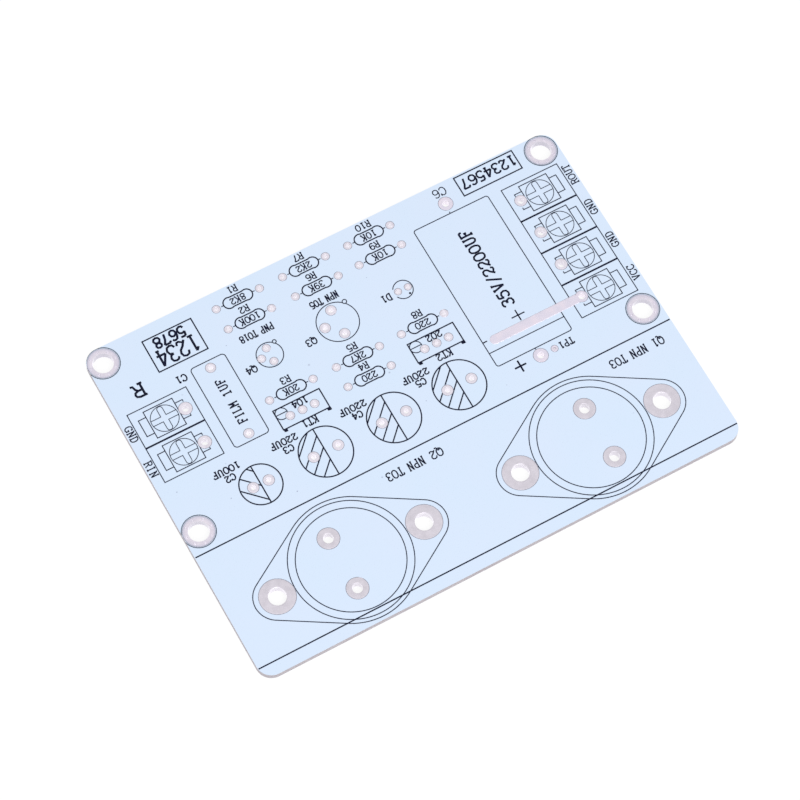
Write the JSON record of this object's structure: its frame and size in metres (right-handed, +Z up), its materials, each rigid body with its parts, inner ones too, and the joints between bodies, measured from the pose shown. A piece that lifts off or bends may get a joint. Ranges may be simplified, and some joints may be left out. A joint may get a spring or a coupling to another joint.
{
  "type": "bare audio amplifier circuit board",
  "caption": "Bare circuit board for an audio amplifier, with plated lead and screw holes, tinned lands, etched tracks and ground plane, solder mask and printed legend.",
  "frame": {"origin": "centre of the board's outline, on the plane that its underside lies on", "axes": "+X along the legend's reading direction, which is the board's length; +Y across the board towards the edge that carries the power transistors; +Z up, out of the printed component side"},
  "size_m": [0.1, 0.072, 0.0016],
  "materials": {
    "laminate": "sawn glass-epoxy, dull",
    "solder_mask": "pale blue cured lacquer, semi-gloss",
    "tinned_copper": "levelled solder, satin",
    "legend_ink": "screen-printed epoxy ink, near black",
    "copper_foil": "etched copper, under the mask"
  },
  "bodies": {
    "root": {"bias_copper": "copper_foil", "bootstrap_copper": "copper_foil", "border_legend": "legend_ink", "bottom_solder_mask": "solder_mask", "c1_lands": "tinned_copper", "c2_lands": "tinned_copper", "c3_lands": "tinned_copper", "c4_lands": "tinned_copper", "c5_lands": "tinned_copper", "c6_lands": "tinned_copper", "d1_lands": "tinned_copper", "diode_legend": "legend_ink", "driver_base_copper": "copper_foil", "feedback_copper": "copper_foil", "feedback_leg_copper": "copper_foil", "film_capacitor_legend": "legend_ink", "ground_copper": "copper_foil", "indicator_copper": "copper_foil", "input_base_copper": "copper_foil", "input_copper": "copper_foil", "input_terminal_lands": "tinned_copper", "kt1_lands": "tinned_copper", "kt2_lands": "tinned_copper", "laminate": "laminate", "lying_capacitor_legend": "legend_ink", "midpoint_copper": "copper_foil", "mounting_hole_lands": "tinned_copper", "mounting_hole_legend": "legend_ink", "output_terminal_lands": "tinned_copper", "q1_base_copper": "copper_foil", "q1_lead_lands": "tinned_copper", "q1_legend": "legend_ink", "q1_screw_lands": "tinned_copper", "q2_base_copper": "copper_foil", "q2_lead_lands": "tinned_copper", "q2_legend": "legend_ink", "q2_screw_lands": "tinned_copper", "q3_lands": "tinned_copper", "q4_lands": "tinned_copper", "r10_lands": "tinned_copper", "r1_lands": "tinned_copper", "r2_lands": "tinned_copper", "r3_lands": "tinned_copper", "r4_lands": "tinned_copper", "r5_lands": "tinned_copper", "r6_lands": "tinned_copper", "r7_lands": "tinned_copper", "r8_lands": "tinned_copper", "r9_lands": "tinned_copper", "resistor_legend": "legend_ink", "small_transistor_legend": "legend_ink", "speaker_copper": "copper_foil", "supply_copper": "copper_foil", "supply_track": "tinned_copper", "terminal_legend": "legend_ink", "test_point_land": "tinned_copper", "top_solder_mask": "solder_mask", "trim_copper": "copper_foil", "trimmer_legend": "legend_ink", "upright_capacitor_legend": "legend_ink"}
  },
  "joints": []
}
